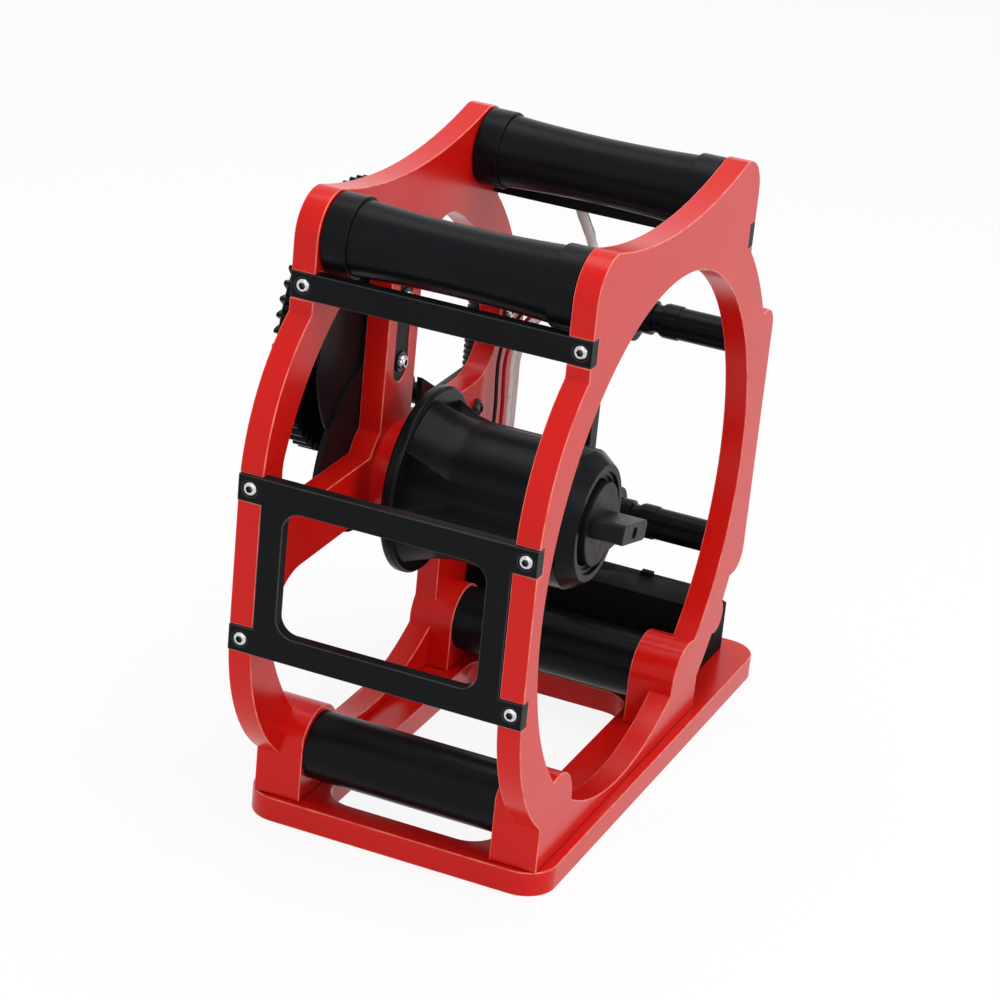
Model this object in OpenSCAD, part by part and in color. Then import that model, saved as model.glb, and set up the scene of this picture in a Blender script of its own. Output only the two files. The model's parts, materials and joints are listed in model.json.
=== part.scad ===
// Filament spool winder: two ring-shaped side plates on a base plate carry a motor-driven spool hub,
// two loose rollers on top and a filament guide on two rods at the back.
// X runs along the spindle, with the open loading side at +X. -Y is the front, and Z is up.

/* [Base plate] */
// Width of the base plate
base_w = 125.4; // [120:0.2:150]
// From the spindle to the base plate's front edge
base_front = 84.5; // [83:0.5:110]
// From the spindle to the base plate's rear edge
base_rear = 150; // [150:0.5:190]
// Thickness of the base plate
base_t = 10; // [8:0.5:16]
// Corner radius of the base plate
base_corner = 13; // [4:0.5:20]
// Width of the base plate's opening
base_open_w = 69; // [40:1:74]
// From the spindle to the front and rear edges of that opening
base_open_half = 73.5; // [50:0.5:74]
// Corner radius of that opening
base_open_corner = 12; // [3:0.5:18]

/* [Side plates] */
// Width over both side plates
frame_w = 117; // [110:0.5:119]
// Thickness of a side plate
plate_t = 9.5; // [8:0.5:14]
// Height of the spindle above the floor
spindle_z = 116; // [115:0.5:118]
// Radius of the round opening for the spool
ring_in = 102.5; // [98:0.5:104]
// Outer radius of the ring
ring_out = 122; // [120:0.5:124]
// From the spindle to the ring's flat front edge
front_flat = 112; // [110:0.25:113]
// Radius of the swept edges above and below the flat
front_sweep = 74.2; // [73:0.2:77]
// From the spindle to the front edge of the feet
foot_front = 82; // [81.6:0.1:83]
// From the spindle to the rear edge of the feet
foot_rear = 80.5; // [80.4:0.1:83]
// From the spindle to the rear edge of the rod pad
pad_rear = 121.5; // [119:0.25:123]
// Half height of the rod pad
pad_half = 57.5; // [54:0.5:62]
// Corner radius of the rod pad
pad_corner = 9; // [3:0.5:12]
// How far the foot bosses reach in from the plates' outer faces
boss_len = 19; // [16:0.5:24]
// Radius of the foot bosses' round tops
boss_r = 15.7; // [15:0.1:17]
// Radius of the arc between the two horns
saddle_r = 246; // [200:2:320]
// Height of that arc's lowest point above the spindle
saddle_rise = 122.4; // [118:0.2:124]

/* [Left plate arms] */
// Half width of the upright arm
upright_half = 13.5; // [11:0.5:18]
// Half width of the front and rear arms
arm_half = 12; // [9:0.5:16]
// Fillet radius where an arm meets the ring
arm_fillet = 20; // [8:1:26]
// Radius of the bearing boss
hub_boss_r = 20; // [17:0.5:26]
// How far the bearing boss stands out of the plate's inner face
hub_boss_len = 11; // [9:0.5:11.5]
// Width of the slot in the upright arm
slot_w = 12; // [9:0.5:16]
// From the spindle to the slot's lower end
slot_low = 37; // [34:0.5:40]
// From the spindle to the slot's upper end
slot_high = 82; // [78:0.5:92]

/* [Crossbars and window panel] */
// Height of the crossbars
bar_h = 10.1; // [9:0.1:12]
// Thickness of the crossbars and of the window panel
bar_t = 5; // [3.5:0.5:7]
// From the spindle to the underside of the crossbars
bar_rise = 93.2; // [91.4:0.2:94.4]
// From the spindle to the crossbars' outer faces
bar_face = 81.5; // [79:0.5:81.5]
// From the spindle to the window panel's front face
panel_face = 112.5; // [112:0.25:114]
// Height of the window panel above the spindle
panel_up = 35.5; // [28:0.5:44]
// Height of the window panel below the spindle
panel_down = 34; // [28:0.5:44]
// Height of the panel's top and bottom bars
panel_bar = 10.3; // [8:0.1:14]
// Width of the panel's uprights
panel_side = 9.2; // [7:0.2:16]
// Corner radius of the window
window_corner = 7; // [2:0.5:10]

/* [Rollers, tubes and rods] */
// From the spindle to the roller axes, front and rear
roller_y = 65.5; // [64:0.5:65.5]
// Height of the roller axes above the crossbars' tops
roller_lift = 11.7; // [11.5:0.1:13]
// Radius of the horns round the roller axes
horn_r = 16; // [15.5:0.1:17]
// Radius of a roller at its collars
roller_r = 15.2; // [13.5:0.1:15.2]
// Length of a roller's collars
roller_collar = 10; // [5:0.5:16]
// Height of the step beside a collar
roller_step = 1.1; // [0.3:0.1:1.3]
// How much thinner a roller is at its waist
roller_waist = 2.4; // [1:0.1:3.5]
// Diameter of the roller axles
axle_d = 8; // [6:0.5:10]
// Diameter of the bottom tubes
tube_d = 26.6; // [22:0.2:27]
// From the spindle to the front tube
tube_front = 68; // [67.5:0.1:68.5]
// From the spindle to the rear tube
tube_rear = 66.5; // [66:0.1:66.8]
// Height of the tubes' axes above the floor
tube_z = 29; // [27:0.5:31]
// Wall of the bottom tubes
tube_wall = 3; // [1.5:0.25:6]
// Diameter of the guide rods
rod_d = 14.2; // [12:0.2:16]
// Diameter of the guide rods' plain ends
rod_end_d = 13.2; // [10:0.2:13.6]
// From the spindle to the guide rods
rod_y = 110.5; // [109:0.5:111]
// Height of the upper rod above the spindle, and depth of the lower one below it
rod_rise = 44; // [42:0.5:46]

/* [Spool hub] */
// Radius of the hub's flange
flange_r = 37; // [32:0.5:42]
// Thickness of the flange
flange_t = 5; // [3:0.5:7]
// Gap between the bearing boss and the flange
flange_gap = 1.4; // [0.5:0.1:3]
// Radius of the hub
hub_r = 27.5; // [25:0.25:28.5]
// Radius of the flare where it meets the flange
flare_r = 34; // [29:0.5:36]
// Length of the flare
flare_len = 17.5; // [10:0.5:24]
// Length of the hub from the flange's face to its end
hub_len = 69.5; // [50:0.5:76]
// Size of the bevel round the hub's end
hub_bevel = 4.5; // [1:0.25:6]
// Depth of the four grooves along the hub
hub_groove = 0.9; // [0.5:0.1:2]
// Diameter of the spindle shaft
shaft_d = 8; // [7:0.5:8]
// Radius of the lock knob's disc
knob_r = 16.5; // [12:0.5:17.5]
// Length of the lock knob's grip
grip_len = 13.5; // [8:0.5:20]
// Width of the lock knob's grip
grip_w = 26; // [16:0.5:28]
// Thickness of the lock knob's grip
grip_t = 8; // [5:0.5:12]

/* [Drive] */
// Module of the outer gear pair
outer_module = 1.88; // [1.6:0.02:1.9]
// Teeth on the drive gear
drive_teeth = 55; // [48:1:55]
// Teeth on the motor's pinion
motor_teeth = 14; // [12:1:16]
// Module of the inner gear pair
inner_module = 1; // [0.9:0.05:1]
// Teeth on the spindle gear
spindle_teeth = 52; // [48:1:54]
// Teeth on the pinion that is part of the drive gear
inner_teeth = 65; // [62:1:68]
// Face width of the inner gear pair
inner_face_w = 5; // [3:0.5:6]
// Face width of the outer gear pair
outer_face_w = 8; // [5:0.5:9]
// Diameter of the motor
motor_d = 36; // [28:1:40]
// Length of the motor
motor_len = 28; // [20:1:45]
// Diameter of the motor's shaft
motor_shaft_d = 6; // [4:0.5:8]

/* [Electronics box] */
// From the spindle to the box's front face
box_front = 85; // [83.5:0.5:88]
// From the spindle to the box's rear face
box_rear = 140; // [132:0.5:140]
// Height of the box above the base plate
box_h = 41.5; // [34:0.5:41.5]
// Height of the box's rear face
box_rear_h = 21.2; // [19:0.2:24]
// Depth of the box's flat top
box_top = 21; // [12:0.5:24]
// Wall of the box
box_wall = 2.5; // [1.5:0.25:3.5]

/* [Guide and wiring] */
// Length of the guide carriage's sleeves
carriage_len = 33; // [26:1:36]
// Where the carriage rests, from the middle of the frame
carriage_x = -10.8; // [-12:0.1:0]
// Diameter of the white tube
white_tube_d = 4; // [3:0.25:4.5]
// Diameter of the thin wires
wire_d = 1.6; // [1:0.1:2]
// Outer diameter of the ribbed sleeve
sleeve_d = 9.6; // [7:0.2:10]
// Depth of a rib
rib_h = 1.1; // [0.5:0.1:1.4]
// Distance from rib to rib
rib_pitch = 2.5; // [2:0.1:4]

/* [Screws] */
// Thread diameter of the small screws
screw_d = 3; // [2.5:0.25:3]
// Head diameter of the small screws
screw_head_d = 5.6; // [4.6:0.2:6]
// Head height of the small screws
screw_head_h = 1.8; // [1.4:0.1:2.2]
// How far the heads stand proud of the bars
screw_proud = 0.5; // [0.2:0.1:0.8]
// Thread diameter of the base screws
base_screw_d = 4; // [3:0.5:5]

/* [Hidden] */
$fn = 96;
// Clearances: a turning or sliding fit, a seat in the same body, and a cut's overshoot
run_gap = 0.05;
seat_gap = 0.04;
over = 1;

red = [0.72, 0.05, 0.05];
black = [0.12, 0.125, 0.14];
grey = [0.33, 0.34, 0.36];
steel = [0.72, 0.73, 0.75];
brass = [0.78, 0.62, 0.3];

x_out = frame_w / 2;
x_in = x_out - plate_t;
screw_x = (x_in + x_out) / 2;
bar_low = spindle_z + bar_rise;
bar_top = bar_rise + bar_h;
roller_rise = bar_top + roller_lift;
roller_z = spindle_z + roller_rise;
blind = 0.63 * plate_t;
window_low = spindle_z - panel_down + panel_bar;
window_high = spindle_z + panel_up - panel_bar;

// The spindle's stack along X, from the bearing boss towards the open side
boss_end = -x_in + hub_boss_len;
flange_back = boss_end + flange_gap;
flange_face = flange_back + flange_t;
hub_end = flange_face + hub_len;
knob_t = 5;
knob_back = hub_end - 3.5;
knob_face = knob_back + knob_t;
recess_depth = 7;
shaft_end = knob_back - 2;
stem_r = 2.5;
stem_len = 10;
end_ring_r = knob_r + 3.6;
bearing_od = 22;
bearing_w = 7;
shield_sink = 0.6;

// The drive's stack along X, from the left plate's outer face outwards
bracket_foot_t = 2.4;
shroud_gap = 0.8;
shroud_t = 1.5;
mesh_gap = 0.5;
clip_t = 1.4;
shroud_x = -x_out - bracket_foot_t - shroud_gap - shroud_t;
inner_gear_x = shroud_x - inner_face_w;
gear_spacing = 1.8;
outer_gear_x = inner_gear_x - gear_spacing - outer_face_w;
bracket_plate_t = 3;
bracket_clear = 2;
bracket_plate_x = outer_gear_x - bracket_clear - bracket_plate_t;
motor_end = bracket_plate_x - motor_len;
terminal_len = 4;
gear_rise = inner_module * (spindle_teeth + inner_teeth) / 2;
gear_z = spindle_z + gear_rise;
motor_reach = outer_module * (drive_teeth + motor_teeth) / 2;
motor_angle = -45;
motor_y = motor_reach * cos(motor_angle);
motor_z = gear_z + motor_reach * sin(motor_angle);
shroud_rim = 2;
shroud_r = inner_module * spindle_teeth / 2 + shroud_rim;
bracket_screw_at = [[64, -5], [79, 0]];
slot_screw_at = [45, 71];
bracket_foot_y = 44;
bracket_foot_end = 9;
bracket_foot_toe = 3;
bracket_foot_rise = 10;
bracket_thread = 6;
axle_cover = 3;
axle_end = -x_in - axle_cover;

// Where the shared origin lies: under the middle of the whole object
mid_x = (base_w / 2 + motor_end - terminal_len) / 2;
mid_y = (base_rear - panel_face - screw_proud) / 2;

// Guide carriage
bush_wall = 1.4;
carriage_sleeve_r = rod_d / 2 + bush_wall + 2.6;
bush_len = 6;
post_w = 5;
post_depth = 8;
snout_r = 5.2;
eyelet_r = 3.2;
eyelet_bore = 1.6;
eyelet_y = rod_y - 16;
eyelet_z = spindle_z - 24;
eyelet_seat = 4;
lip_r = 1;

// Ribbed sleeve on the left plate's outer face, with its cap and its elbow into the box
cap_lug_t = 1.2;
sleeve_x = -x_out - cap_lug_t - sleeve_d / 2 - 0.3;
sleeve_top = spindle_z + rod_rise + 8;
sleeve_low = base_t + 38;
sleeve_socket = 8;
elbow_z = base_t + 24;
sleeve_holder_r = sleeve_d / 2 + 1.2;
spigot_r = 5.5;
spigot_gap = 0.4;
spigot_wall = 2;
cap_screw_at = [103, 35.2];

// Guide block on the rear crossbar, and the grommets on the box that the cords go into
inlet_x = [-28, -10];
inlet_low = 212;
inlet_depth = 12;
grommet_h = 3;

// Routes of the white tube and of the two wires, from the guide block down to the grommets
tube_route = [
    [-17, 88, 212], [-16, 88, 206], [-13, 88, 200], [-10, 88, 194], [-8, 88, 187], [-9, 88, 180],
    [-13, 88, 173], [-19, 89, 167], [-26, 90, 161], [-32, 90, 154], [-36, 90, 146], [-38, 90, 137],
    [-38, 90, 127], [-38, 90, 116], [-38, 90, 104], [-38, 90, 90], [-38, 90, 76], [-38, 90, 64],
    [-38, 90, 54.5]];
red_route = [
    [-19, 90.7, 212], [-18, 90.7, 206], [-15, 90.7, 200], [-12, 90.7, 194], [-11, 90.5, 187], [-13, 90, 179],
    [-20.5, 87.5, 171], [-25.5, 86, 165], [-31, 87, 159], [-36, 87, 152], [-40, 88, 144], [-42, 89, 136],
    [-42.5, 90, 127], [-42, 90, 116], [-42, 90, 104], [-42, 90, 90], [-42, 90, 76], [-42, 90, 64],
    [-42, 90, 54.5]];
black_route = [
    [-17.2, 92, 212], [-16.2, 92, 206], [-13.4, 92.2, 200], [-11, 92.8, 194], [-11, 93, 187],
    [-16.5, 92, 179], [-23.5, 88.5, 172], [-29, 86.5, 167], [-34, 87, 161], [-39, 87, 153], [-43, 88, 145],
    [-45, 89, 136],
    [-45.5, 90, 127], [-45, 90, 116], [-45, 90, 104], [-45, 90, 90], [-45, 90, 76], [-45, 90, 64],
    [-45, 90, 54.5]];

// Moves the children from spindle coordinates to the shared origin
module place() { translate([-mid_x, -mid_y, 0]) children(); }

// Extrudes a shape drawn in Y and Z from x0 to x1
module slab(x0, x1) { translate([x0, 0, 0]) rotate([90, 0, 90]) linear_extrude(x1 - x0) children(); }

// A round bar along X from x0 to x1, its axis at y and z
module bar_x(r, x0, x1, y = 0, z = spindle_z) {
    translate([x0, y, z]) rotate([0, 90, 0]) cylinder(r = r, h = x1 - x0);
}

// A round bar along Y from y0 to y1
module bar_y(r, y0, y1, x, z) { translate([x, y1, z]) rotate([90, 0, 0]) cylinder(r = r, h = y1 - y0); }

// A body turned about X, its profile given as radius and X
module turned(y = 0, z = spindle_z) { translate([0, y, z]) rotate([0, 90, 0]) rotate_extrude() children(); }

// A rectangle with round corners, from one corner to the other
module round_rect(low, high, r) {
    translate([low.x + r, low.y]) square([high.x - low.x - 2 * r, high.y - low.y]);
    translate([low.x, low.y + r]) square([high.x - low.x, high.y - low.y - 2 * r]);
    for (x = [low.x + r, high.x - r], y = [low.y + r, high.y - r]) translate([x, y]) circle(r);
}

// Involute of a gear's base circle, as an angle in degrees
function involute(a) = tan(a) * 180 / PI - a;
function flank_angle(r, base_r, half) =
    half + involute(20) - (r > base_r ? involute(acos(base_r / r)) : 0);

// A gear's outline with thinned involute teeth, one of them centred on the phase angle
module gear_outline(teeth, m, phase, thin) {
    pitch_r = teeth * m / 2;
    base_r = pitch_r * cos(20);
    half = (PI * m / 2 - thin) / (2 * pitch_r) * 180 / PI;
    radii = [pitch_r - 1.2 * m, max(base_r, pitch_r - 0.6 * m), pitch_r + 0.2 * m, pitch_r + 0.95 * m];
    polygon([
        for (i = [0 : teeth - 1])
            for (k = [-4, -3, -2, -1, 1, 2, 3, 4])
                let (r = radii[4 - abs(k)],
                     a = phase + 360 * i / teeth + sign(k) * flank_angle(r, base_r, half))
                    r * [cos(a), sin(a)]]);
}

// Tube swept along a route with eight sides
function unit(v) = v / norm(v);
function heading(p, i) = unit(p[min(i + 1, len(p) - 1)] - p[max(i - 1, 0)]);
function flat_ends(p, i) = i == 0 || i == len(p) - 1 ? [0, 0, -1] : heading(p, i);
module sweep(route, r) {
    sides = 8;
    last = len(route) - 1;
    points = [
        for (i = [0 : last])
            let (d = flat_ends(route, i), u = unit(cross(d, [0, 1, 0])), v = cross(d, u))
                for (k = [0 : sides - 1])
                    route[i] + r * (cos(360 * k / sides) * u + sin(360 * k / sides) * v)];
    walls = [
        for (i = [0 : last - 1], k = [0 : sides - 1])
            let (a = i * sides + k, b = i * sides + (k + 1) % sides)
                each [[a, b, b + sides], [a, b + sides, a + sides]]];
    caps = [
        for (k = [1 : sides - 2])
            each [[0, k + 1, k], [last * sides, last * sides + k, last * sides + k + 1]]];
    polyhedron(points, concat(walls, caps));
}

// A button-head screw with a hexagon socket, its head's underside at the origin and its tip along -Z
module screw(d, head_d, head_h, len) {
    difference() {
        union() {
            translate([0, 0, -len]) cylinder(d = d, h = len);
            rotate_extrude() polygon([
                [0, 0], [head_d / 2, 0], [head_d / 2, 0.4 * head_h], [0.44 * head_d, 0.75 * head_h],
                [0.34 * head_d, head_h], [0, head_h]]);
        }
        translate([0, 0, 0.35 * head_h]) cylinder(d = 0.5 * head_d, h = head_h, $fn = 6);
    }
}

// Base plate

module base_plate() color(red) difference() {
    linear_extrude(base_t) difference() {
        round_rect([-base_w / 2, -base_front], [base_w / 2, base_rear], base_corner);
        round_rect([-base_open_w / 2, -base_open_half], [base_open_w / 2, base_open_half], base_open_corner);
    }
    for (p = base_screw_places()) translate([p.x, p.y, 0]) {
        translate([0, 0, -over]) cylinder(d = base_screw_d + 0.4, h = base_t + 2 * over);
        translate([0, 0, -over]) cylinder(d = base_head_d + 0.6, h = base_sink + over);
    }
    for (p = box_screw_places()) translate([p.x, p.y, 0]) {
        translate([0, 0, -over]) cylinder(d = screw_d + 0.4, h = base_t + 2 * over);
        translate([0, 0, -over]) cylinder(d = screw_head_d + 0.6, h = base_sink + over);
    }
}

base_head_d = 1.8 * base_screw_d;
base_sink = 4;
function base_screw_places() = [for (x = [-screw_x, screw_x], y = [-tube_front, tube_rear]) [x, y]];
box_half = x_in - 0.5;
box_post_r = 4;
box_post_h = 13;
box_tab_x = 21.5;
box_tab = [5, 3, 1.2];
function box_screw_places() =
    [for (x = [-1, 1]) [x * (box_half - box_wall - box_post_r + 1), box_rear - box_wall - box_post_r + 1]];

// Side plates: outline in Y and Z, measured from the spindle

module plate_outline() difference() {
    union() {
        intersection() {
            circle(ring_out);
            union() {
                hull() for (z = [-flat_half, flat_half])
                    translate([front_sweep - front_flat, z]) circle(front_sweep);
                translate([-ring_in / 2, -ring_out]) square(2 * ring_out);
            }
            translate([-front_flat, base_t - spindle_z]) square([front_flat + pad_rear, 2 * ring_out]);
        }
        rod_pad();
        translate([-foot_front, base_t - spindle_z]) square([foot_front - ring_in / 2, foot_top - base_t]);
        translate([ring_in / 2, base_t - spindle_z]) square([foot_rear - ring_in / 2, foot_top - base_t]);
        translate([-roller_y - horn_r, horn_low]) square([2 * (roller_y + horn_r), roller_rise - horn_low]);
        translate([-roller_y, bar_rise]) square([2 * roller_y, roller_rise + horn_r - bar_rise]);
        for (y = [-roller_y, roller_y]) translate([y, roller_rise]) circle(horn_r);
    }
    circle(ring_in);
    intersection() {
        translate([0, saddle_rise + saddle_r]) circle(saddle_r);
        translate([-roller_y, saddle_rise - over]) square([2 * roller_y, horn_r + saddle_r]);
    }
}

foot_top = 28.4;
flat_half = 28;
horn_low = bar_rise - 8;
bump_angle = -36.44;
module rod_pad() {
    bump = (ring_out - 0.8) * [cos(bump_angle), sin(bump_angle)];
    round_rect([rod_y - 14, -pad_half], [pad_rear, pad_half], pad_corner);
    translate(bump) circle(7);
}

// Foot boss outline: a round top over straight sides, level with the foot's own edge
module boss_outline(y, r, edge) intersection() {
    union() {
        translate([y, tube_z]) circle(r);
        translate([y - r, base_t]) square([2 * r, tube_z - base_t]);
    }
    if (edge < 0) translate([edge, 0]) square([2 * r + over, spindle_z]);
    else translate([edge - 2 * r - over, 0]) square([2 * r + over, spindle_z]);
}

// What both side plates share; the open side is at +X
module plate_body(side) {
    difference() {
        union() {
            on_side(side) slab(x_in, x_out) translate([0, spindle_z]) children();
            on_side(side) slab(x_out - boss_len, x_out) boss_outline(-tube_front, boss_r, -foot_front);
            on_side(side) slab(x_out - boss_len, x_out)
                boss_outline(tube_rear, side < 0 ? post_boss_r : boss_r, foot_rear);
        }
        on_side(side) plate_cuts();
    }
}
module on_side(side) { if (side < 0) mirror([1, 0, 0]) children(); else children(); }

module plate_cuts() {
    for (y = [-roller_y, roller_y]) bar_x(axle_d / 2 + seat_gap, x_in - over, x_in + blind, y, roller_z);
    for (z = [-rod_rise, rod_rise])
        bar_x(rod_end_d / 2 + seat_gap, x_in - over, x_in + blind, rod_y, spindle_z + z);
    bar_x(tube_d / 2 + seat_gap, x_out - boss_len - over, x_in, -tube_front, tube_z);
    bar_x(tube_d / 2 + seat_gap, x_out - boss_len - over, x_in, tube_rear, tube_z);
    for (s = [-1, 1]) {
        notch_y = s < 0 ? -bar_face - 2 * over : bar_face - bar_t - seat_gap;
        translate([x_in - over, notch_y, bar_low - seat_gap])
            cube([plate_t + 2 * over, bar_t + 2 * over + seat_gap, bar_h + 2 * seat_gap]);
        screw_ends = [s * bar_face, s * (bar_face - screw_len)];
        bar_y(screw_d / 2 + seat_gap, min(screw_ends), max(screw_ends), screw_x, bar_low + bar_h / 2);
    }
    for (z = panel_tab_z()) {
        translate([x_in - over, -panel_face - over, z - seat_gap])
            cube([plate_t + 2 * over, bar_t + over + seat_gap, panel_bar + 2 * seat_gap]);
        bar_y(screw_d / 2 + seat_gap, -panel_face, -panel_face + screw_len, screw_x, z + panel_bar / 2);
    }
    for (p = base_screw_places())
        if (p.x > 0) translate([p.x, p.y, base_t - over])
            cylinder(d = base_screw_d + 2 * seat_gap, h = base_thread + over);
}
screw_len = 12;
base_thread = 12;
function panel_tab_z() = [spindle_z - panel_down, spindle_z + panel_up - panel_bar];

module right_side_plate() color(red) plate_body(1) plate_outline();

// One arm of the left plate along +X of the drawing, with a fillet either side where it meets the ring
module arm(half) {
    bite = 0.1;
    reach = ring_in - arm_fillet + bite;
    mid_v = half + arm_fillet;
    mid_u = sqrt(reach * reach - mid_v * mid_v);
    touch = [mid_u, mid_v] * ring_in / reach;
    translate([0, -half]) square([ring_in + 2, 2 * half]);
    for (s = [0, 1]) mirror([0, s]) difference() {
        polygon([[mid_u, 0], [mid_u, half], touch, touch * 1.03, [ring_in + 2, 0]]);
        translate([mid_u, mid_v]) circle(arm_fillet);
    }
}

// Web behind the left plate's lower gap, with a straight front face and a fillet under the rear arm
post_front = 55.8;
post_boss_r = tube_d / 2 + 1.1;
module rear_post() {
    corner = [post_front - arm_fillet, -arm_half - arm_fillet];
    intersection() {
        circle(ring_in + 2);
        translate([post_front, -ring_in]) square([ring_in, ring_in - arm_half + over]);
    }
    difference() {
        translate(corner) square(arm_fillet + over);
        translate(corner) circle(arm_fillet);
    }
}

module left_outline() {
    plate_outline();
    rear_post();
    for (a = [0, 180]) rotate(a) arm(arm_half);
    rotate(90) arm(upright_half);
    circle(hub_boss_r + 4);
}

module left_side_plate() color(red) difference() {
    union() {
        plate_body(-1) left_outline();
        bar_x(hub_boss_r, -x_in - over, boss_end);
    }
    bar_x(bearing_od / 2 - 3, -x_out - over, boss_end + over);
    bar_x(bearing_od / 2 + seat_gap, -x_out - over, -x_out + bearing_w);
    bar_x(bearing_od / 2 + seat_gap, boss_end - bearing_w, boss_end + over);
    slab(-x_out - over, -x_in + over) translate([0, spindle_z])
        round_rect([-slot_w / 2, slot_low], [slot_w / 2, slot_high], slot_w / 2 - 0.01);
    bar_x(spigot_r + spigot_gap, -x_out - over, -x_in + over, rod_y, elbow_z);
    for (p = bracket_screw_at) bar_x(screw_d / 2 + 0.2, -x_out - over, -x_in + over, p.x, spindle_z + p.y);
    bar_x(screw_d / 2 + 0.2, -x_out - over, -x_in + over, cap_screw_at.x, spindle_z + cap_screw_at.y);
}

// Crossbars and window panel

// The front crossbar has s below 0
module crossbar(s) color(black) difference() {
    y0 = s < 0 ? -bar_face : bar_face - bar_t;
    translate([-x_out, y0, bar_low]) cube([2 * x_out, bar_t, bar_h]);
    for (x = [-screw_x, screw_x]) front_screw_hole(s, bar_face, x, bar_low + bar_h / 2);
}

// Clearance hole and sunk seat for a screw in a bar's outer face
module front_screw_hole(s, face, x, z) {
    seat = face + screw_proud - screw_head_h;
    translate([x, s * (face + over), z]) rotate([s < 0 ? -90 : 90, 0, 0]) {
        cylinder(d = screw_d + 0.4, h = bar_t + 2 * over);
        cylinder(d = screw_head_d + 0.3, h = face - seat + over);
    }
}
module front_crossbar() crossbar(-1);
module rear_crossbar() crossbar(1);

module window_panel() color(black) difference() {
    union() {
        translate([-x_in + 0.1, -panel_face, spindle_z - panel_down])
            cube([2 * x_in - 0.2, bar_t, panel_up + panel_down]);
        for (z = panel_tab_z()) translate([-x_out, -panel_face, z]) cube([2 * x_out, bar_t, panel_bar]);
    }
    translate([0, -panel_face + bar_t + over, 0]) rotate([90, 0, 0]) linear_extrude(bar_t + 2 * over)
        round_rect([-x_in + panel_side, window_low], [x_in - panel_side, window_high], window_corner);
    for (x = [-screw_x, screw_x], z = panel_tab_z()) front_screw_hole(-1, panel_face, x, z + panel_bar / 2);
}

module bar_screw(s, face, x, z) {
    translate([x, s * (face + screw_proud - screw_head_h), z]) rotate([s < 0 ? 90 : -90, 0, 0])
        screw(screw_d, screw_head_d, screw_head_h, screw_len - screw_head_h);
}
module crossbar_screws() color(steel)
    for (s = [-1, 1], x = [-screw_x, screw_x]) bar_screw(s, bar_face, x, bar_low + bar_h / 2);
module panel_screws() color(steel)
    for (x = [-screw_x, screw_x], z = panel_tab_z()) bar_screw(-1, panel_face, x, z + panel_bar / 2);

module base_screws() color(steel) for (p = base_screw_places())
    translate([p.x, p.y, base_sink]) rotate([180, 0, 0])
        screw(base_screw_d, base_head_d, 0.6 * base_screw_d, base_t - base_sink + base_thread - 1);

// Bottom tubes, guide rods and rollers

module bottom_tube(y) color(black) difference() {
    bar_x(tube_d / 2, -x_in + seat_gap, x_in - seat_gap, y, tube_z);
    bar_x(tube_d / 2 - tube_wall, -x_in - over, x_in + over, y, tube_z);
}
module front_tube() bottom_tube(-tube_front);
module rear_tube() bottom_tube(tube_rear);

// A guide rod, with a groove beside a collar towards each end
module guide_rod(z) {
    collar = [17, 23.5];
    groove = [12.5, 16];
    groove_r = rod_d / 2 - 1.3;
    end = x_in + blind - seat_gap;
    color(black) turned(rod_y, spindle_z + z) for (s = [0, 1]) mirror([0, s]) {
        square([rod_d / 2, groove[0]]);
        translate([0, groove[0]]) square([groove_r, groove[1] - groove[0]]);
        translate([0, groove[1]]) square([rod_d / 2 - 0.4, collar[0] - groove[1]]);
        translate([0, collar[0]]) square([rod_d / 2, collar[1] - collar[0]]);
        translate([0, collar[1]]) square([rod_end_d / 2, end - collar[1]]);
    }
}
module upper_rod() guide_rod(rod_rise);
module lower_rod() guide_rod(-rod_rise);

module roller_axle(y) color(steel)
    bar_x(axle_d / 2, -x_in - blind + seat_gap, x_in + blind - seat_gap, y, roller_z);
module front_roller_axle() roller_axle(-roller_y);
module rear_roller_axle() roller_axle(roller_y);

// A roller with a collar at each end and a waist drawn by one large arc
roller_half = x_in - 0.5;
roller_bush_r = axle_d / 2 + 2;
roller_bush_len = 10;
module roller(y) {
    run = roller_half - roller_collar;
    dip = roller_waist - roller_step;
    arc_r = (run * run + dip * dip) / (2 * dip);
    color(black) turned(y, roller_z) difference() {
        union() {
            translate([0, -roller_half]) square([roller_r, roller_collar]);
            translate([0, roller_half - roller_collar]) square([roller_r, roller_collar]);
            difference() {
                translate([0, -run]) square([roller_r - roller_step, 2 * run]);
                translate([roller_r - roller_waist + arc_r, 0]) circle(arc_r, $fn = 360);
            }
        }
        translate([0, -roller_half - over]) square([axle_d / 2 + 1, 2 * (roller_half + over)]);
        for (s = [0, 1]) mirror([0, s]) translate([0, roller_half - roller_bush_len])
            square([roller_bush_r + seat_gap, roller_bush_len + over]);
    }
}
module front_roller() roller(-roller_y);
module rear_roller() roller(roller_y);

module roller_bushes(y) color(brass) turned(y, roller_z) for (s = [0, 1]) mirror([0, s])
    translate([axle_d / 2 + run_gap, roller_half - roller_bush_len + seat_gap])
        square([roller_bush_r - axle_d / 2 - run_gap, roller_bush_len - seat_gap]);
module front_roller_bushes() roller_bushes(-roller_y);
module rear_roller_bushes() roller_bushes(roller_y);

// Filament guide

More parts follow.
